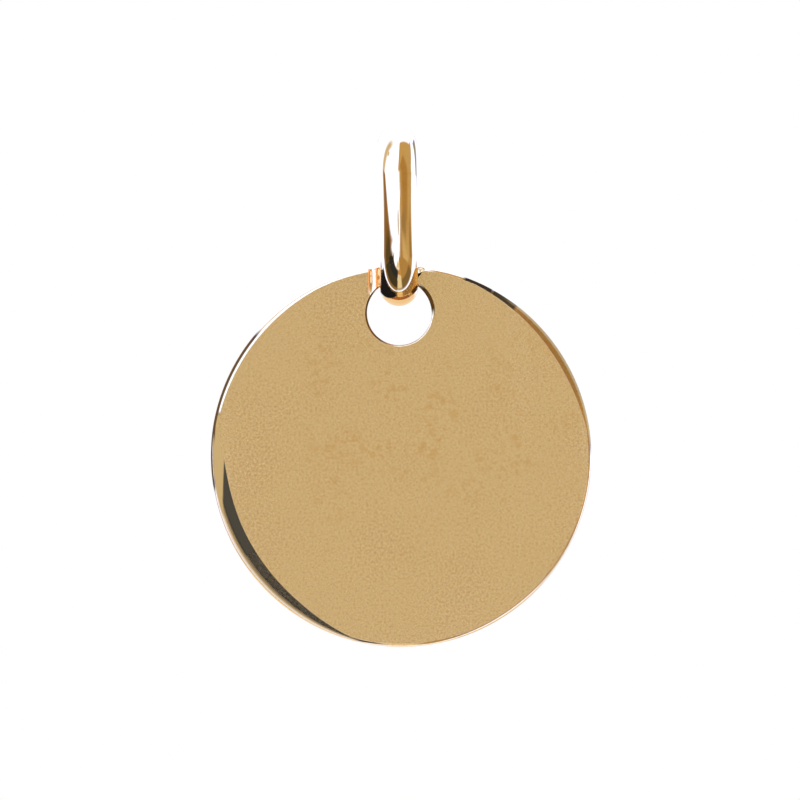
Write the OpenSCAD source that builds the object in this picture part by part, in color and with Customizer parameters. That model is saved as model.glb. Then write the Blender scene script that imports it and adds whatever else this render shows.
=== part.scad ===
// Round medallion pendant: a plain polished disc that hangs from a long oval bail of
// half-round wire. The bail goes through a hole near the disc's rim, so the disc swings on it.
// Millimetres. X runs from left to right, Y from front to back, and Z up. The origin is the
// inside top of the bail, where the pendant sits on its chain.

/* [Disc] */
// Diameter of the disc
disc_d = 20; // [16:0.5:25]
// Thickness of the disc
disc_t = 1; // [0.85:0.05:1.4]
// Radius that rounds the rim, front and back
rim_r = 0.4; // [0.1:0.02:0.4]

/* [Hole] */
// Diameter of the hole that the bail goes through
hole_d = 3.4; // [3:0.1:4]
// Metal left between the hole and the rim
web = 0.75; // [0.6:0.05:1]
// Radius that eases both edges of the hole
hole_edge_r = 0.12; // [0.04:0.02:0.2]

/* [Bail] */
// Width of the wire, across its flat side
wire_w = 2; // [1.4:0.1:2.2]
// Thickness of the wire, from its flat side to the top of its dome
wire_t = 1; // [0.7:0.05:1.1]
// Radius that eases the two edges of the wire's flat side
wire_edge_r = 0.15; // [0.06:0.01:0.2]
// Height of the bail over all
bail_h = 9.5; // [8:0.1:11]
// Outer radius of the bail's top and bottom bends, which is half of its depth
bend_r = 2.85; // [2.6:0.05:3]
// Clearance between the bail's lower bend and the hole that rides on it
gap = 0.05; // [0.03:0.01:0.1]

/* [Hidden] */
$fn = 180;

gold = [0.85, 0.66, 0.36];

// The bail: two half-circle bends, their centres one above the other, joined by two legs
inner_r = bend_r - wire_t;
leg_l = bail_h - 2 * bend_r;
top_bend_z = -inner_r;
low_bend_z = top_bend_z - leg_l;

// The wire's section: its dome runs into its two eased edges without a corner
edge_y = wire_w / 2 - wire_edge_r;
dome_r = (edge_y ^ 2 + (wire_t - wire_edge_r) ^ 2 - wire_edge_r ^ 2)
    / (2 * (wire_t - 2 * wire_edge_r));
dome_x = wire_t - dome_r;
meet_x = dome_x + dome_r * (wire_edge_r - dome_x) / (dome_r - wire_edge_r);
meet_y = dome_r * edge_y / (dome_r - wire_edge_r);

// The disc: both ends of its hole's straight wall ride on the eased edges of the lower bend
hole_wall_y = disc_t / 2 - hole_edge_r;
hole_drop = sqrt((inner_r + wire_edge_r) ^ 2 - hole_wall_y ^ 2)
    + sqrt((hole_d / 2 - wire_edge_r - gap) ^ 2 - edge_y ^ 2);
hole_z = low_bend_z - hole_drop;
disc_z = hole_z + hole_d / 2 + web - disc_d / 2;

// Half of the disc's section, from its centre line to its rounded rim
module disc_section() {
    flat_r = disc_d / 2 - rim_r;
    round_y = disc_t / 2 - rim_r;
    translate([0, -disc_t / 2]) square([flat_r, disc_t]);
    translate([0, -round_y]) square([disc_d / 2, 2 * round_y]);
    for (side = [-1, 1]) translate([flat_r, side * round_y]) circle(rim_r);
}

// Half of the section that the hole takes away, wider where its two edges are eased
module hole_section() {
    eased_r = hole_d / 2 + hole_edge_r;
    translate([0, -disc_t]) square([hole_d / 2, 2 * disc_t]);
    for (back = [0, 1]) mirror([0, back]) difference() {
        translate([0, hole_wall_y]) square([eased_r, disc_t]);
        translate([eased_r, hole_wall_y]) circle(hole_edge_r);
    }
}

// The wire's section, with its flat side at the left and its dome at the right
module wire_section() {
    polygon([[0, -edge_y], [meet_x, -meet_y], [meet_x, meet_y], [0, edge_y]]);
    for (side = [-1, 1]) translate([wire_edge_r, side * edge_y]) circle(wire_edge_r);
    intersection() {
        translate([dome_x, 0]) circle(dome_r);
        translate([meet_x, -wire_w]) square([wire_t, 2 * wire_w]);
    }
}

module disc() {
    color(gold) difference() {
        translate([0, 0, disc_z]) rotate([90, 0, 0]) rotate_extrude() disc_section();
        translate([0, 0, hole_z]) rotate([90, 0, 0]) rotate_extrude() hole_section();
    }
}

module bail() {
    color(gold) union() {
        for (bend = [[low_bend_z, -90], [top_bend_z, 90]]) translate([0, 0, bend[0]])
            rotate([0, 90, 0]) rotate([0, 0, bend[1]])
                rotate_extrude(angle = 180) translate([inner_r, 0]) wire_section();
        for (side = [-90, 90]) translate([0, 0, low_bend_z]) rotate([0, 0, side])
            translate([inner_r, 0, 0]) linear_extrude(leg_l) wire_section();
    }
}

disc();
bail();
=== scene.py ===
# A plain round medallion of gold plated brass, hanging from a long oval bail.
# Metres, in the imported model's frame: X left to right, Y front to back, Z up.
import math

import bpy
import numpy as np
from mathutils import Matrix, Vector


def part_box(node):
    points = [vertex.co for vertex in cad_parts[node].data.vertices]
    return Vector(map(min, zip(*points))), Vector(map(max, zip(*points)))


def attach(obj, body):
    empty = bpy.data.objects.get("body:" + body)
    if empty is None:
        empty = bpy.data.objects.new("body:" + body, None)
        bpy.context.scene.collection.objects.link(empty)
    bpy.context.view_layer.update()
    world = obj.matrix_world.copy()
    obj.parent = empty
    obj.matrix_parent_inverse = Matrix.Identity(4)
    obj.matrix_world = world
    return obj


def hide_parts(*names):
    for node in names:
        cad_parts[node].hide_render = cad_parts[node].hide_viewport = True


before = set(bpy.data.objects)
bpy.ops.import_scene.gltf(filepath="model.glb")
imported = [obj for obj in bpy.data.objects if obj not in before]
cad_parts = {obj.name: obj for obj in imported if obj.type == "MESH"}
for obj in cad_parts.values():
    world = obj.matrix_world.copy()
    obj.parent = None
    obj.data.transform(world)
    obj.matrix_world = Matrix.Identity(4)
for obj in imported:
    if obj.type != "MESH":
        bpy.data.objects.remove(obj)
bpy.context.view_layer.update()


# Disc
# The medallion is a round blank stamped from brass sheet, with a hole punched near its edge
# for the bail. Its rim was rolled over the polishing wheel by hand, so the rounding is much
# wider at the lower left than elsewhere. Then it was gold plated.

mm = 0.001
disc_low, disc_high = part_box("disc")
disc_r = (disc_high.x - disc_low.x) / 2
disc_half_t = (disc_high.y - disc_low.y) / 2
disc_z = (disc_high.z + disc_low.z) / 2
web = 0.75 * mm
hole_r = 1.7 * mm
hole_z = disc_high.z - web - hole_r

# Both edges of the disc turn down crisply from its face and are then rounded off, a little
# more fully where a low bevel is ground on, and more tightly before a steep one
bevel_tilt = {"low": math.radians(21), "steep": math.radians(55)}
bevel_crown = math.radians(5)
turn_r = {"low": 0.03 * mm, "steep": 0.08 * mm}
rim_round = {"plain": 0.22 * mm, "ground": 0.42 * mm}
hole_round = {"plain": 0.09 * mm, "ground": 0.12 * mm}
# The front's bevels, by clock angle from the right, turning down. The ones on the hole are
# where the bail has rubbed.
rim_bevels = (
    {"at": 152, "before": 46, "after": 38, "width": 0.63 * mm, "power": (2, 3.7)},
    {"at": 210, "before": 26, "after": 34, "width": 0.075 * mm, "power": (2, 2)},
    {"at": 274.5, "before": 4, "after": 3, "width": 0.45 * mm, "power": (2, 2)},
    {"at": 326, "before": 32, "after": 26, "width": 0.18 * mm, "power": (1.6, 2)},
)
steep_rim_bevels = (
    {"at": 56, "before": 20, "after": 24, "width": 0.12 * mm, "power": (2, 2)},
)
hole_bevels = (
    {"at": 330, "before": 34, "after": 42, "width": 0.10 * mm, "power": (2, 2)},
    {"at": 160, "before": 50, "after": 40, "width": 0.06 * mm, "power": (2, 2)},
)
# How many points the disc has round the clock and across each face, and how many steps of tilt
# each stretch of an edge has: before the low bevel, on it, before the steep one, on it, and after
round_points = 540
face_points = 14
tilt_steps = (6, 12, 6, 5, 5)


def bevel_width_at(clock, bevels):
    """The bevel's width at each clock angle in degrees: for each bevel, one minus a power of
    the share of the way from its widest spot to its end."""
    width = np.zeros_like(clock)
    for bevel in bevels:
        away = (clock - bevel["at"] + 180) % 360 - 180
        share = np.where(away < 0, -away / bevel["before"], away / bevel["after"])
        power = np.where(away < 0, *bevel["power"])
        width += bevel["width"] * np.clip(1 - np.clip(share, 0, 1) ** power, 0, 1)
    return width


def edge_section(low_width, steep_width, rounding):
    """The section of an edge, in from the edge and down from the face, by its tilt from 0 to
    90 degrees. Each step of tilt goes on by the section's radius times that step, and the
    steps close to a bevel's tilt also share out that bevel's width between them."""
    low, steep = bevel_tilt["low"], bevel_tilt["steep"]
    ends = (low - bevel_crown, low + bevel_crown, steep - bevel_crown, steep + bevel_crown)
    tilt = np.concatenate([
        ends[0] * np.linspace(0, 1, tilt_steps[0], endpoint=False) ** 2,
        np.linspace(ends[0], ends[1], tilt_steps[1], endpoint=False),
        np.linspace(ends[1], ends[2], tilt_steps[2], endpoint=False),
        np.linspace(ends[2], ends[3], tilt_steps[3], endpoint=False),
        np.linspace(ends[3], math.pi / 2, tilt_steps[4]),
    ])
    step = np.diff(tilt)[None, :]
    mid = (tilt[1:] + tilt[:-1])[None, :] / 2
    low_width = low_width[:, None]
    steep_width = steep_width[:, None]
    ground = np.clip(low_width / (2 * rounding["plain"]), 0, 1)
    round_r = rounding["plain"] + (rounding["ground"] - rounding["plain"]) * ground
    tight = np.clip(steep_width / turn_r["steep"], 0, 1)
    near_r = round_r + (turn_r["steep"] - round_r) * tight
    radius = np.where(mid < steep - bevel_crown, near_r, round_r)
    length = np.where(mid < low - bevel_crown, turn_r["low"], radius) * step
    for at, width in ((low, low_width), (steep, steep_width)):
        crown = np.where(np.abs(mid - at) < bevel_crown, step, 0)
        length = length + width * crown / crown.sum()
    start = np.zeros_like(low_width)
    out = np.concatenate([start, np.cumsum(length * np.cos(mid), 1)], 1)
    down = np.concatenate([start, np.cumsum(length * np.sin(mid), 1)], 1)
    return out[:, -1:] - out, down, np.degrees(tilt)


def disc_grid():
    """Points on the disc, round the clock by the way across its section, and each one's tilt
    in degrees. The section starts on the hole's wall, goes over the front to the rim and comes
    back over the back. The faces join the two circles straight."""
    clock = np.linspace(0, 360, round_points, endpoint=False)
    turn = np.radians(clock)
    out = np.stack([np.cos(turn), 0 * turn, -np.sin(turn)], -1)[:, None, :]
    hole_centre = np.array([0, 0, hole_z])
    disc_centre = np.array([0, 0, disc_z])
    spacing = np.linspace(0, math.pi, face_points)[1:-1]
    across = (0.5 - 0.5 * np.cos(spacing))[None, :, None]
    on_rim = bevel_width_at(clock, rim_bevels)
    steep_on_rim = bevel_width_at(clock, steep_rim_bevels)
    on_hole = bevel_width_at(clock, hole_bevels)
    sides = []
    for side, ground in ((-1, 1), (1, 0)):
        hole_in, hole_down, tilt = edge_section(ground * on_hole, 0 * on_hole, hole_round)
        hole_edge = hole_centre + out * (hole_r + hole_in[:, ::-1])[..., None]
        hole_edge[..., 1] = side * (disc_half_t - hole_down[:, ::-1])
        rim_in, rim_down, tilt = edge_section(ground * on_rim, ground * steep_on_rim, rim_round)
        rim_edge = disc_centre + out * (disc_r - rim_in)[..., None]
        rim_edge[..., 1] = side * (disc_half_t - rim_down)
        face = hole_edge[:, -1:] * (1 - across) + rim_edge[:, :1] * across
        sides.append(np.concatenate([hole_edge, face, rim_edge], 1))
    points = np.concatenate([sides[0], sides[1][:, ::-1]], 1)
    level = np.zeros(across.shape[1])
    tilts = np.concatenate([tilt[::-1], level, tilt, tilt[::-1], level, tilt])
    return points, np.broadcast_to(tilts, points.shape[:2])


def closed_grid(name, points):
    """A mesh over a grid of points that closes on itself both ways, smooth shaded."""
    rows, columns = points.shape[:2]
    number = np.arange(rows * columns).reshape(rows, columns)
    beside = np.roll(number, -1, 1)
    corners = np.stack([number, beside, np.roll(beside, -1, 0), np.roll(number, -1, 0)], -1)
    mesh = bpy.data.meshes.new(name)
    mesh.from_pydata(points.reshape(-1, 3), [], corners.reshape(-1, 4).tolist())
    mesh.shade_smooth()
    piece = bpy.data.objects.new(name, mesh)
    bpy.context.scene.collection.objects.link(piece)
    return piece


disc_points, disc_tilt = disc_grid()
disc = closed_grid("medallion_disc", disc_points)
tilt = disc.data.attributes.new("tilt", "FLOAT", "POINT")
tilt.data.foreach_set("value", disc_tilt.ravel())
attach(disc, "disc")
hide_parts("disc")


def wire_up(tree, kind, inputs, **settings):
    """Adds a node to a tree, sets it up, and links or fills in its inputs by number or name."""
    node = tree.nodes.new(kind)
    for setting, value in settings.items():
        setattr(node, setting, value)
    for key, value in inputs.items():
        if isinstance(value, bpy.types.NodeSocket):
            tree.links.new(value, node.inputs[key])
        else:
            node.inputs[key].default_value = value
    return node


def sum_up(tree, operation, *values):
    """One step of arithmetic between values."""
    step = wire_up(tree, "ShaderNodeMath", dict(enumerate(values)), operation=operation)
    return step.outputs[0]


def soft_step(tree, value, low, high, start=0.0, end=1.0):
    """A value that goes smoothly from start to end while the one given goes from low to high."""
    ends = {"Value": value, "From Min": low, "From Max": high, "To Min": start, "To Max": end}
    step = wire_up(tree, "ShaderNodeMapRange", ends, interpolation_type="SMOOTHSTEP")
    return step.outputs["Result"]


def mix_colours(tree, share, under, over):
    """A colour between two, by the share of the one over."""
    mix = wire_up(tree, "ShaderNodeMix", {"Factor": share, 6: under, 7: over}, data_type="RGBA")
    return mix.outputs[2]


def new_group(name, inputs, outputs):
    """An empty group of shader nodes with the sockets named, given as name and kind. Returns
    it with what it is given and what it puts out."""
    group = bpy.data.node_groups.new(name, "ShaderNodeTree")
    for way, sockets in (("INPUT", inputs), ("OUTPUT", outputs)):
        for socket, kind in sockets.items():
            group.interface.new_socket(socket, in_out=way, socket_type="NodeSocket" + kind)
    given = group.nodes.new("NodeGroupInput").outputs
    result = group.nodes.new("NodeGroupOutput").inputs
    return group, given, result


def noise(tree, where, scale, detail):
    """A soft random value from 0 to 1 at each place, with scale spots to the metre."""
    sizes = {"Vector": where, "Scale": scale, "Detail": detail}
    return wire_up(tree, "ShaderNodeTexNoise", sizes).outputs["Fac"]


def arc_group():
    """The mask of a piece of a ring. It covers Spread degrees either side of Clock, and runs
    from Near to Far from the middle. Near and Far go further out by their slants for each
    degree round the clock. Turn and Off say where a point is."""
    places = ("Turn", "Off", "Clock", "Spread", "Near", "Far")
    softness = ("Blur", "Turn Blur", "Near Slant", "Far Slant")
    sockets = {name: "Float" for name in places + softness}
    group, given, result = new_group("arc", sockets, {"Mask": "Float"})
    turn = sum_up(group, "SUBTRACT", given["Turn"], given["Clock"])
    turn = sum_up(group, "WRAP", turn, 180.0, -180.0)

    def past(value, limit, blur):
        share = sum_up(group, "DIVIDE", sum_up(group, "SUBTRACT", value, limit), blur)
        return soft_step(group, share, -0.5, 0.5)

    near = sum_up(group, "MULTIPLY_ADD", turn, given["Near Slant"], given["Near"])
    far = sum_up(group, "MULTIPLY_ADD", turn, given["Far Slant"], given["Far"])
    beside = past(sum_up(group, "ABSOLUTE", turn), given["Spread"], given["Turn Blur"])
    inside = sum_up(group, "SUBTRACT", 1.0, past(given["Off"], far, given["Blur"]))
    ring = sum_up(group, "MULTIPLY", past(given["Off"], near, given["Blur"]), inside)
    mask = sum_up(group, "MULTIPLY", ring, sum_up(group, "SUBTRACT", 1.0, beside))
    group.links.new(mask, result["Mask"])
    return group


arc = arc_group()
# The parts of the edge of a layer of painted reflection and shade on the gold over which it takes on
# its full colour, and over which it takes the metal's shine
colouring = (0.0, 0.7)
dulling = (0.3, 1.0)


def paint_over(tree, mask, piece, colour, metal):
    """Colour and metal with a layer of painted reflection and shade over them. At its edge it
    first colours the metal, and it takes the metal's shine only where it is thickest."""
    share = soft_step(tree, mask, *colouring, 0.0, piece["share"])
    thick = soft_step(tree, mask, *dulling, 0.0, piece["share"])
    metals = {0: thick, 2: metal, 3: piece["metal"]}
    metal = wire_up(tree, "ShaderNodeMix", metals).outputs[0]
    return mix_colours(tree, share, colour, piece["colour"] + (1,)), metal


def arc_mask(tree, turn, off, piece):
    """The mask of one piece of a ring, from its table's row."""
    sizes = {
        "Turn": turn,
        "Off": off,
        "Clock": piece["clock"],
        "Spread": piece["spread"],
        "Near": piece["near"],
        "Far": piece["far"],
        "Blur": piece["blur"],
        "Turn Blur": piece["turn_blur"],
        "Near Slant": piece["near_slant"],
        "Far Slant": piece["far_slant"],
    }
    return wire_up(tree, "ShaderNodeGroup", sizes, node_tree=arc).outputs["Mask"]


# The polish of all the gold: its grain and scratches in spots to the metre, the noise at which
# its clouds and scratches start and are full, and how rough each leaves the gold
polish_marks = {"grain": 8000.0, "scratches": 1000.0}
clouds_between = (0.40, 0.72)
scratches_between = (0.62, 0.72)
scratch_way = (1, 1, 0.05)
roughness = {"gold": 0.03, "clouds": 0.02, "scratches": 0.015}
gold = (0.94, 0.675, 0.315, 1)
brown_gold = (0.80, 0.50, 0.19, 1)


def polish_group():
    """Gold polished by hand on a soft wheel. Clouds of browner gold come from how long the
    wheel stayed in each place, and a fine grain and the finest scratches from its compound.
    Cloud Size is in metres. The height is the cloud's noise less a tenth of the scratches."""
    sockets = {
        "Gold": "Color",
        "Brown Gold": "Color",
        "Cloud Size": "Float",
        "Cloud Share": "Float",
        "Grain Share": "Float",
        "Scratch Way": "Vector",
    }
    results = {"Colour": "Color", "Roughness": "Float", "Height": "Float"}
    group, given, result = new_group("hand_polish", sockets, results)
    where = wire_up(group, "ShaderNodeTexCoord", {}).outputs["Object"]
    cloud = noise(group, where, sum_up(group, "DIVIDE", 1.0, given["Cloud Size"]), 2.0)
    grain = noise(group, where, polish_marks["grain"], 1.0)
    stretch = {0: where, 1: given["Scratch Way"]}
    stretched = wire_up(group, "ShaderNodeVectorMath", stretch, operation="MULTIPLY")
    scratch = noise(group, stretched.outputs[0], polish_marks["scratches"], 2.0)
    fine = soft_step(group, scratch, *scratches_between)
    browned = soft_step(group, cloud, *clouds_between)
    share = sum_up(group, "MULTIPLY", browned, given["Cloud Share"])
    grained = sum_up(group, "MULTIPLY", sum_up(group, "SUBTRACT", grain, 0.5), given["Grain Share"])
    share = sum_up(group, "ADD", grained, share)
    group.links.new(mix_colours(group, share, given["Gold"], given["Brown Gold"]), result["Colour"])
    rough = sum_up(group, "MULTIPLY_ADD", browned, roughness["clouds"], roughness["gold"])
    rough = sum_up(group, "MULTIPLY_ADD", fine, roughness["scratches"], rough)
    group.links.new(rough, result["Roughness"])
    height = sum_up(group, "MULTIPLY_ADD", fine, -0.1, cloud)
    group.links.new(height, result["Height"])
    return group


polish = polish_group()


def polished_gold(name, cloud_size, cloud_share, grain_share, ripple_height):
    """A material of polished gold, with the nodes that its shader takes its look from."""
    material = bpy.data.materials.new(name)
    material.use_nodes = True
    tree = material.node_tree
    shader = tree.nodes["Principled BSDF"]
    shader.inputs["Metallic"].default_value = 1.0
    shader.inputs["Specular IOR Level"].default_value = 0.0
    look = {
        "Gold": gold,
        "Brown Gold": brown_gold,
        "Cloud Size": cloud_size,
        "Cloud Share": cloud_share,
        "Grain Share": grain_share,
        "Scratch Way": scratch_way,
    }
    finish = wire_up(tree, "ShaderNodeGroup", look, node_tree=polish)
    tree.links.new(finish.outputs["Colour"], shader.inputs["Base Color"])
    tree.links.new(finish.outputs["Roughness"], shader.inputs["Roughness"])
    bumps = {"Height": finish.outputs["Height"], "Distance": ripple_height}
    ripple = wire_up(tree, "ShaderNodeBump", bumps)
    tree.links.new(ripple.outputs["Normal"], shader.inputs["Normal"])
    return {"material": material, "shader": shader, "finish": finish, "ripple": ripple}


# Painted reflections and shade on the rim, by clock angle and by degrees of the rim's tilt: the
# dark crescent at the upper right, the dark leaf at the lower left and the tan and brown bands are
# painted in place of what the polished rim would mirror, and two small spots near 295 and 304
# degrees are painted near black. The paint only tints the metal where metal is 1, and is dull
# where it is 0
where_columns = ("clock", "spread", "near", "far", "blur", "turn_blur", "near_slant", "far_slant")
cover_columns = where_columns + ("metal", "share", "colour")
painted_rim_reflections = [dict(zip(cover_columns, row)) for row in (
    (62, 22, 12, 46, 6, 10, 0, 0, 1, 1.0, (0.600, 0.360, 0.110)),
    (56, 18, 64, 84, 8, 12, 0, 0, 1, 1.0, (0.400, 0.290, 0.130)),
    (146, 42, 1.8, 16, 1.5, 8, 0, 0, 1, 1.0, (0.500, 0.270, 0.055)),
    (295, 4.5, 12, 86, 5, 3, 0, 0, 0, 1.0, (0.014, 0.009, 0.005)),
    (304, 4, 12, 75, 5, 2, 0, 0, 0, 1.0, (0.018, 0.012, 0.006)),
    (326, 16, 12, 86, 5, 22, 0, 0, 1, 0.25, (0.060, 0.038, 0.018)),
    (332, 26, 32, 82, 12, 10, 0, 0, 0, 0.85, (0.080, 0.055, 0.026)),
    (138, 34, 23.7, 50, 6, 10, 0, 0, 0, 0.95, (0.095, 0.062, 0.025)),
    (138, 34, 30, 50, 5, 10, 0, 0, 0, 1.0, (0.230, 0.162, 0.082)),
    (138, 34, 39, 52, 4, 10, 0, 0, 0, 1.0, (0.290, 0.245, 0.185)),
    (166, 18, 13, 24.0, 3, 0.8, 0, 0, 0, 1.0, (0.024, 0.020, 0.013)),
    (178, 15, 17.4, 42, 2.5, 6, -0.6, 0, 0, 1.0, (0.193, 0.130, 0.051)),
    (187, 7, 1.5, 42, 2, 3, 0, 0, 0, 1.0, (0.193, 0.130, 0.051)),
    (180, 9, 50, 85, 6, 5, 0, 0, 0, 1.0, (0.050, 0.028, 0.010)),
    (204, 17, 26, 85, 6, 9, 0, 0, 0, 1.0, (0.045, 0.024, 0.009)),
)]
# Painted dark reflections on the edge and the lower wall of the hole, brown lines in place of what
# its rounded edge would mirror, by clock angle round the hole and by distance from its middle
hole_reflection_in = hole_r - 0.02 * mm
painted_hole_reflections = [dict(zip(cover_columns, row)) for row in (
    (335, 22, hole_reflection_in, hole_r + 0.18 * mm, 0.05 * mm, 36, 0, 0, 0, 1.0, (0.040, 0.018, 0.004)),
    (170, 50, hole_reflection_in, hole_r + 0.08 * mm, 0.03 * mm, 50, 0, 0, 0, 1.0, (0.040, 0.018, 0.004)),
    (90, 65, hole_reflection_in, hole_r + 0.01 * mm, 0.01 * mm, 20, 0, 0, 0, 1.0, (0.190, 0.080, 0.035)),
)]
# The ripple that the bail has pressed into the front beside its left leg, over the web. It
# fades in with its height over the hole's middle, and its crests are painted brown, a painted
# reflection of the orange edges of the bail's leg mirrored in the disc.
ripples = {
    "start": -1.57 * mm,
    "lead": 0.0328 * mm,
    "apart": 0.41 * mm,
    "end": -0.90 * mm,
    "depth": 0.034 * mm,
    "fade": (0.45 * hole_r, 0.9 * hole_r),
    "painted_crest": (0.3, 0.9),
    "brown": (0.85, 0.27, 0.040, 1),
}
# Brown specks, in a wide band across the face by the depth below its top. They are where a fine
# noise of spots and a coarse one of drifts, both in spots to the metre, are high together.
specks = {
    "from": 2.5 * mm,
    "to": 18 * mm,
    "left": -6.5 * mm,
    "share": 0.55,
    "spots": 2600.0,
    "spots_between": (0.48, 0.66),
    "drifts": 330.0,
    "drifts_between": (0.38, 0.62),
    "brown": (0.86, 0.53, 0.17, 1),
}
# The share of the light that the faces scatter, from the finest marks of the polishing wheel,
# the share that is left on the rim, and the degrees of tilt between which the one gives way
haze = {"face": 0.08, "rim": 0.033, "between": (2.0, 12.0)}

disc_polish = {
    "cloud_size": 5 * mm,
    "cloud_share": 0.25,
    "grain_share": 2.4,
    "ripple_height": 0.002 * mm,
}
disc_gold = polished_gold("disc_gold", **disc_polish)
tree = disc_gold["material"].node_tree
shader = disc_gold["shader"]
where = wire_up(tree, "ShaderNodeTexCoord", {}).outputs["Object"]
parts = wire_up(tree, "ShaderNodeSeparateXYZ", {0: where}).outputs
below = sum_up(tree, "SUBTRACT", disc_z, parts["Z"])
turn = sum_up(tree, "DEGREES", sum_up(tree, "ARCTAN2", below, parts["X"]))
off = wire_up(tree, "ShaderNodeAttribute", {}, attribute_name="tilt").outputs["Fac"]
colour = disc_gold["finish"].outputs["Colour"]

spot = noise(tree, where, specks["spots"], 3.0)
drift = noise(tree, where, specks["drifts"], 2.0)
depth = sum_up(tree, "SUBTRACT", disc_high.z, parts["Z"])
above = soft_step(tree, depth, specks["to"] / 2, specks["to"], 1.0, 0.0)
band = sum_up(tree, "MULTIPLY", soft_step(tree, depth, specks["from"], 2 * specks["from"]), above)
rightward = soft_step(tree, parts["X"], specks["left"], specks["left"] / 2)
band = sum_up(tree, "MULTIPLY", band, rightward)
spotted = soft_step(tree, spot, *specks["spots_between"])
drifted = soft_step(tree, drift, *specks["drifts_between"])
share = sum_up(tree, "MULTIPLY", sum_up(tree, "MULTIPLY", spotted, drifted), band)
share = sum_up(tree, "MULTIPLY", share, specks["share"])
colour = mix_colours(tree, share, colour, specks["brown"])

along = sum_up(tree, "SUBTRACT", parts["X"], ripples["start"])
wave = sum_up(tree, "COSINE", sum_up(tree, "MULTIPLY", along, 2 * math.pi / ripples["apart"]))
begun = sum_up(tree, "GREATER_THAN", along, -ripples["lead"])
inside = sum_up(tree, "MULTIPLY", begun, sum_up(tree, "LESS_THAN", parts["X"], ripples["end"]))
over_hole = sum_up(tree, "SUBTRACT", parts["Z"], hole_z)
inside = sum_up(tree, "MULTIPLY", inside, soft_step(tree, over_hole, *ripples["fade"]))
inside = sum_up(tree, "MULTIPLY", inside, sum_up(tree, "LESS_THAN", parts["Y"], 0.0))
# The brown on the crests is a painted reflection of the bail leg's edges
painted_crest = sum_up(tree, "MULTIPLY", soft_step(tree, wave, *ripples["painted_crest"]), inside)
colour = mix_colours(tree, painted_crest, colour, ripples["brown"])
lower = sum_up(tree, "MULTIPLY", sum_up(tree, "MULTIPLY_ADD", wave, 0.5, -0.5), inside)
dent = wire_up(tree, "ShaderNodeBump", {"Height": lower, "Distance": ripples["depth"]})
tree.links.new(dent.outputs["Normal"], disc_gold["ripple"].inputs["Normal"])

metal = soft_step(tree, off, *haze["between"], 1 - haze["face"], 1 - haze["rim"])
# The rim's painted reflections and shade go over the gold
for piece in painted_rim_reflections:
    colour, metal = paint_over(tree, arc_mask(tree, turn, off, piece), piece, colour, metal)
under = sum_up(tree, "SUBTRACT", hole_z, parts["Z"])
round_hole = sum_up(tree, "DEGREES", sum_up(tree, "ARCTAN2", under, parts["X"]))
square = sum_up(tree, "MULTIPLY_ADD", under, under, sum_up(tree, "MULTIPLY", parts["X"], parts["X"]))
from_hole = sum_up(tree, "SQRT", square)
# The hole edge's painted dark reflections go over the gold
for hole_reflection in painted_hole_reflections:
    colour, metal = paint_over(tree, arc_mask(tree, round_hole, from_hole, hole_reflection), hole_reflection, colour, metal)
tree.links.new(colour, shader.inputs["Base Color"])
tree.links.new(metal, shader.inputs["Metallic"])
disc.data.materials.append(disc_gold["material"])


# Bail
# One length of half-round brass wire, bent to a long oval with its flat side inside, put
# through the disc's hole and soldered shut. Its outside is filed and polished to a slightly
# fuller curve than its inside, so that its legs swell a little between the two bends.

bail_low, bail_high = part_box("bail")
wire_half_w = bail_high.x
wire_t = bail_high.z
wire_ease = 0.15 * mm
bail_half_h = (bail_high.z - bail_low.z) / 2
bail_half_d = bail_high.y
bail_z = (bail_high.z + bail_low.z) / 2
inside_r = bail_half_d - wire_t
inside_leg = bail_half_h - bail_half_d
swell = math.radians(5)
# How many points there are along each leg and bend, and across the dome, the eased edges and
# the flat of the wire
leg_points = 61
bend_points = 121
dome_points = 65
ease_points = 12
flat_points = 12


def bail_inside(facing):
    """The bail's inside line, half of it either side of straight legs, by the way it faces:
    two half circles joined by legs, which take the first few degrees either side of level."""
    lean = np.arcsin(np.sin(facing))
    bend = np.sign(lean) * np.clip(np.abs(lean) - swell, 0, None)
    bend = bend * (math.pi / 2) / (math.pi / 2 - swell)
    rise = inside_leg * np.clip(lean / swell, -1, 1) + inside_r * np.sin(bend)
    return np.sign(np.cos(facing)) * inside_r * np.cos(bend), rise


def bail_outside(facing):
    """The bail's outside line, by the way it faces: an oval of four arcs, two long ones for
    the legs and two short ones for the bends, which meet where they face the same way."""
    full = math.cos(swell)
    side = math.sin(swell)
    long_r = (bail_half_h - bail_half_d / full * (1 - side)) / (side - (1 / full - 1) * (1 - side))
    short_r = long_r - (long_r - bail_half_d) / full
    lean = np.arcsin(np.sin(facing))
    on_leg = np.abs(lean) < swell
    depth = np.where(on_leg, bail_half_d - long_r * (1 - np.cos(lean)), short_r * np.cos(lean))
    bend_rise = short_r * np.sin(lean) + np.sign(lean) * (bail_half_h - short_r)
    rise = np.where(on_leg, long_r * np.sin(lean), bend_rise)
    return np.sign(np.cos(facing)) * depth, rise


def wire_section():
    """The half-round wire's outline: across, and out from its flat side as a share of its
    thickness. A dome runs into two eased edges, which run into the flat."""
    edge = wire_half_w - wire_ease
    dome_r = edge ** 2 + (wire_t - wire_ease) ** 2 - wire_ease ** 2
    dome_r = dome_r / (2 * (wire_t - 2 * wire_ease))
    dome_up = wire_t - dome_r
    meet = math.atan2(edge, wire_ease - dome_up)
    dome = np.linspace(-meet, meet, dome_points)
    ease = np.linspace(meet, math.pi, ease_points)[1:]
    flat = np.linspace(edge, -edge, flat_points)[1:-1]
    across = np.concatenate([
        dome_r * np.sin(dome),
        edge + wire_ease * np.sin(ease),
        flat,
        -edge - wire_ease * np.sin(ease[::-1]),
    ])
    up = np.concatenate([
        dome_up + dome_r * np.cos(dome),
        wire_ease + wire_ease * np.cos(ease),
        0 * flat,
        wire_ease + wire_ease * np.cos(ease[::-1]),
    ])
    return across, up / wire_t


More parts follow.
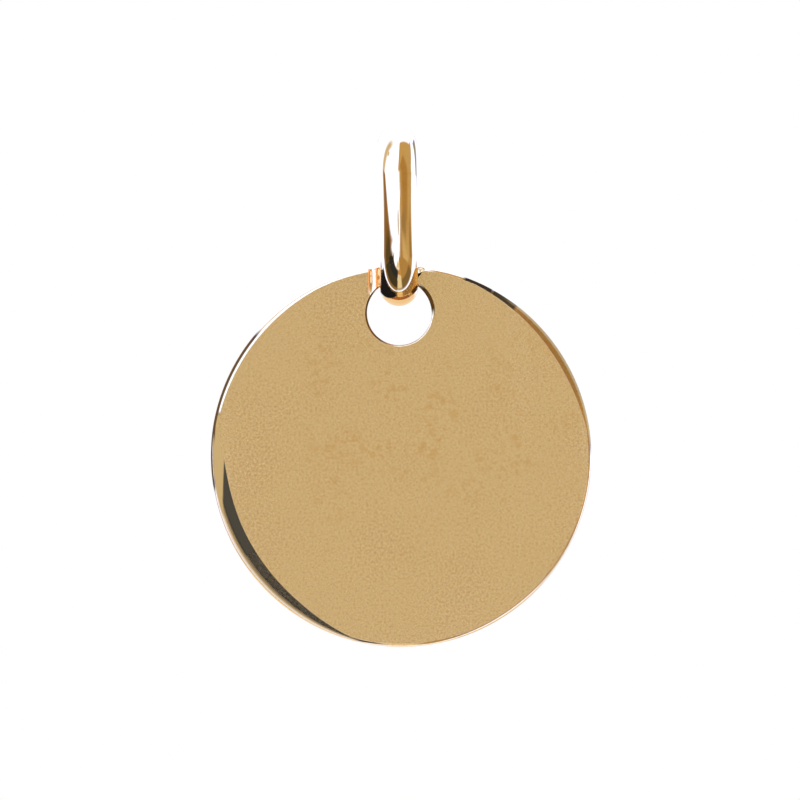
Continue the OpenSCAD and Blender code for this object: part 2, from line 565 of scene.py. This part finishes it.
def bail_grid():
    """Points on the bail: the wire's section carried round between the bail's inside and
    outside lines, by the way that it faces."""
    leg = np.linspace(-swell, swell, leg_points)
    bend = np.linspace(swell, math.pi - swell, bend_points)[1:-1]
    facing = np.concatenate([leg, bend, leg + math.pi, bend + math.pi])[:, None]
    across, share = wire_section()
    in_y, in_z = bail_inside(facing)
    out_y, out_z = bail_outside(facing)
    y = in_y + share * (out_y - in_y)
    z = bail_z + in_z + share * (out_z - in_z)
    return np.stack([across + 0 * y, y, z], -1)


bail = closed_grid("bail_loop", bail_grid())
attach(bail, "bail")
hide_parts("bail")

# Painted dark reflections on the bail's lower bend, where it goes through the hole, by the clock
# angle and the degrees from the front that its surface faces
painted_bail_reflections = [dict(zip(cover_columns, row)) for row in (
    (159, 9, 19, 28, 3, 5, 0, 0, 0, 1.0, (0.010, 0.007, 0.004)),
    (132, 31, 51, 72, 5, 12, 0, 0.5, 0, 1.0, (0.005, 0.004, 0.003)),
)]
bail_polish = {
    "cloud_size": 1.4 * mm,
    "cloud_share": 0.35,
    "grain_share": 0.7,
    "ripple_height": 0.001 * mm,
}
bail_gold = polished_gold("bail_gold", **bail_polish)
tree = bail_gold["material"].node_tree
facing = wire_up(tree, "ShaderNodeTexCoord", {}).outputs["Normal"]
parts = wire_up(tree, "ShaderNodeSeparateXYZ", {0: facing}).outputs
downward = sum_up(tree, "MULTIPLY", parts["Z"], -1.0)
turn = sum_up(tree, "DEGREES", sum_up(tree, "ARCTAN2", downward, parts["X"]))
forward = sum_up(tree, "MULTIPLY", parts["Y"], -1.0)
off = sum_up(tree, "DEGREES", sum_up(tree, "ARCCOSINE", forward))
colour = bail_gold["finish"].outputs["Colour"]
metal = 1.0
# The bail's painted dark reflections go over its gold
for piece in painted_bail_reflections:
    colour, metal = paint_over(tree, arc_mask(tree, turn, off, piece), piece, colour, metal)
tree.links.new(colour, bail_gold["shader"].inputs["Base Color"])
tree.links.new(metal, bail_gold["shader"].inputs["Metallic"])
bail.data.materials.append(bail_gold["material"])


# Studio
# The pendant hangs in a white paper tent, over a pale table. Polished gold shows only what
# stands round it, so the tent has dark and tan cards in it, and a grey hole for the lens.

table_drop = 50 * mm
table_side = 300 * mm
bpy.ops.mesh.primitive_plane_add(size=table_side, location=(0, 0, -table_drop))
table = bpy.context.object
table.name = "table"
table_white = bpy.data.materials.new("table_white")
table_white.use_nodes = True
table_shader = table_white.node_tree.nodes["Principled BSDF"]
table_shader.inputs["Base Color"].default_value = (0.8, 0.8, 0.79, 1)
table_shader.inputs["Roughness"].default_value = 0.9
table.data.materials.append(table_white)
table.visible_glossy = False

# The lens stands almost straight in front of the disc, far enough off to flatten it, and is
# rolled by less than a degree, as the photo's is
lens_distance = 300 * mm
frame_width = 42.0 * mm
lens_z = -13.43 * mm
lens_x = -0.017 * mm
lens_roll = math.radians(0.7)
camera_data = bpy.data.cameras.new("lens")
camera_data.lens = camera_data.sensor_width * lens_distance / frame_width
camera_data.clip_start = 10 * mm
camera = bpy.data.objects.new("lens", camera_data)
camera.location = (lens_x, -lens_distance - disc_half_t, lens_z)
camera.rotation_euler = (math.pi / 2, lens_roll, 0)
bpy.context.scene.collection.objects.link(camera)
bpy.context.scene.camera = camera
bpy.context.scene.view_settings.view_transform = "Standard"

# The paper's light on shiny things is a cool white that gold turns plain white. The cards are
# each over the ones before, by degrees round the lens and off it, with their own light.
tent_light = 4.0
paper = (1.30, 1.80, 4.00)
cards = [dict(zip(where_columns + ("light",), row)) for row in (
    (0, 360, 156, 200, 24, 8, 0, 0, (1.12, 1.25, 1.60)),
    (0, 360, 172, 200, 8, 8, 0, 0, (0.62, 0.50, 0.32)),
    (90, 62, 110, 200, 14, 24, 0, 0, (0.96, 0.84, 0.72)),
    (21, 16, 120, 146, 8, 10, 0, 0, (0.56, 0.45, 0.29)),
    (159, 16, 120, 146, 8, 10, 0, 0, (0.56, 0.45, 0.29)),
    (135, 9, 98, 112, 8, 8, 0, 0, (0.56, 0.45, 0.29)),
    (225, 5, 71, 79, 4, 4, 0, 0, (0.72, 0.62, 0.48)),
    (341, 14.75, 130, 154, 8, 0.8, 0, 0, (0.34, 0.38, 0.42)),
    (30, 55, 10, 86, 10, 6, 0, 0, (0.56, 0.44, 0.27)),
    (48, 34, 12, 84, 10, 20, 0, 0, (0.46, 0.32, 0.16)),
    (300, 20, 15, 98, 9, 4, 0, 0.7, (0.58, 0.45, 0.26)),
    (338, 22, 14, 94, 10, 4, 0, -1.2, (0.58, 0.46, 0.28)),
    (330, 30, 24, 58, 16, 6, 0, 0, (0.45, 0.29, 0.12)),
    (0, 5, 20, 46, 12, 8, 0, 0, (0.36, 0.27, 0.16)),
    (14, 7, 24, 58, 16, 8, 0, 0, (0.66, 0.55, 0.38)),
    (4, 5, 66, 80, 10, 8, 0, 0, (0.34, 0.24, 0.12)),
    (218, 32, 78, 98, 14, 24, 0, 0, (0.68, 0.64, 0.62)),
    (64, 40, 62, 90, 10, 10, 0, 0, (0.22, 0.17, 0.10)),
    (98, 16, 18, 36, 12, 10, 0, 0, (0.88, 0.86, 0.78)),
    (86, 10, 50, 85, 8, 7, 0, 0, (0.85, 0.85, 0.80)),
    (88, 14, 37, 50, 7, 8, 0, 0, (0.58, 0.37, 0.14)),
    (186, 13, 71, 92, 13, 5, 3.0, 0, (0.30, 0.18, 0.06)),
    (172, 10, 42, 92, 12, 5, 1.8, 0, (0.30, 0.18, 0.07)),
    (171, 8, 42, 78, 10, 6, 1.8, 0, (0.10, 0.08, 0.045)),
    (131, 33, 32.5, 92, 5, 5, -0.15, 0, (0.32, 0.21, 0.10)),
    (131, 33, 34.5, 83, 6, 5, -0.15, 0, (0.06, 0.055, 0.045)),
    (130, 34, 36.0, 57, 6, 4, -0.15, 0, (0.030, 0.037, 0.065)),
    (159, 5, 43.5, 50.5, 2, 3, 0, 0, (0.52, 0.40, 0.24)),
    (0, 360, -9, 3.4, 0.6, 8, 0, 0, (0.515, 0.470, 0.379)),
)]

world = bpy.data.worlds.new("tent")
bpy.context.scene.world = world
world.use_nodes = True
tree = world.node_tree
tree.nodes.clear()
direction = wire_up(tree, "ShaderNodeTexCoord", {}).outputs["Generated"]
parts = wire_up(tree, "ShaderNodeSeparateXYZ", {0: direction}).outputs
forward = sum_up(tree, "MULTIPLY", parts["Y"], -1.0)
downward = sum_up(tree, "MULTIPLY", parts["Z"], -1.0)
off = sum_up(tree, "DEGREES", sum_up(tree, "ARCCOSINE", forward))
turn = sum_up(tree, "DEGREES", sum_up(tree, "ARCTAN2", downward, parts["X"]))
shown = tuple(share / tent_light for share in paper) + (1,)
for card in cards:
    shade = tuple(share / tent_light for share in card["light"]) + (1,)
    shown = mix_colours(tree, arc_mask(tree, turn, off, card), shown, shade)
tent = wire_up(tree, "ShaderNodeBackground", {"Color": shown, "Strength": tent_light})
# The lens sees the paper as plain white, and dull things are lit by all of it alike
ray = wire_up(tree, "ShaderNodeLightPath", {}).outputs
plain_light = sum_up(tree, "MULTIPLY_ADD", ray["Is Diffuse Ray"], tent_light - 1, 1.0)
plain = wire_up(tree, "ShaderNodeBackground", {"Color": (1, 1, 1, 1), "Strength": plain_light})
plainly = sum_up(tree, "MAXIMUM", ray["Is Camera Ray"], ray["Is Diffuse Ray"])
both = wire_up(tree, "ShaderNodeMixShader", {0: plainly, 1: tent.outputs[0], 2: plain.outputs[0]})
wire_up(tree, "ShaderNodeOutputWorld", {"Surface": both.outputs[0]})
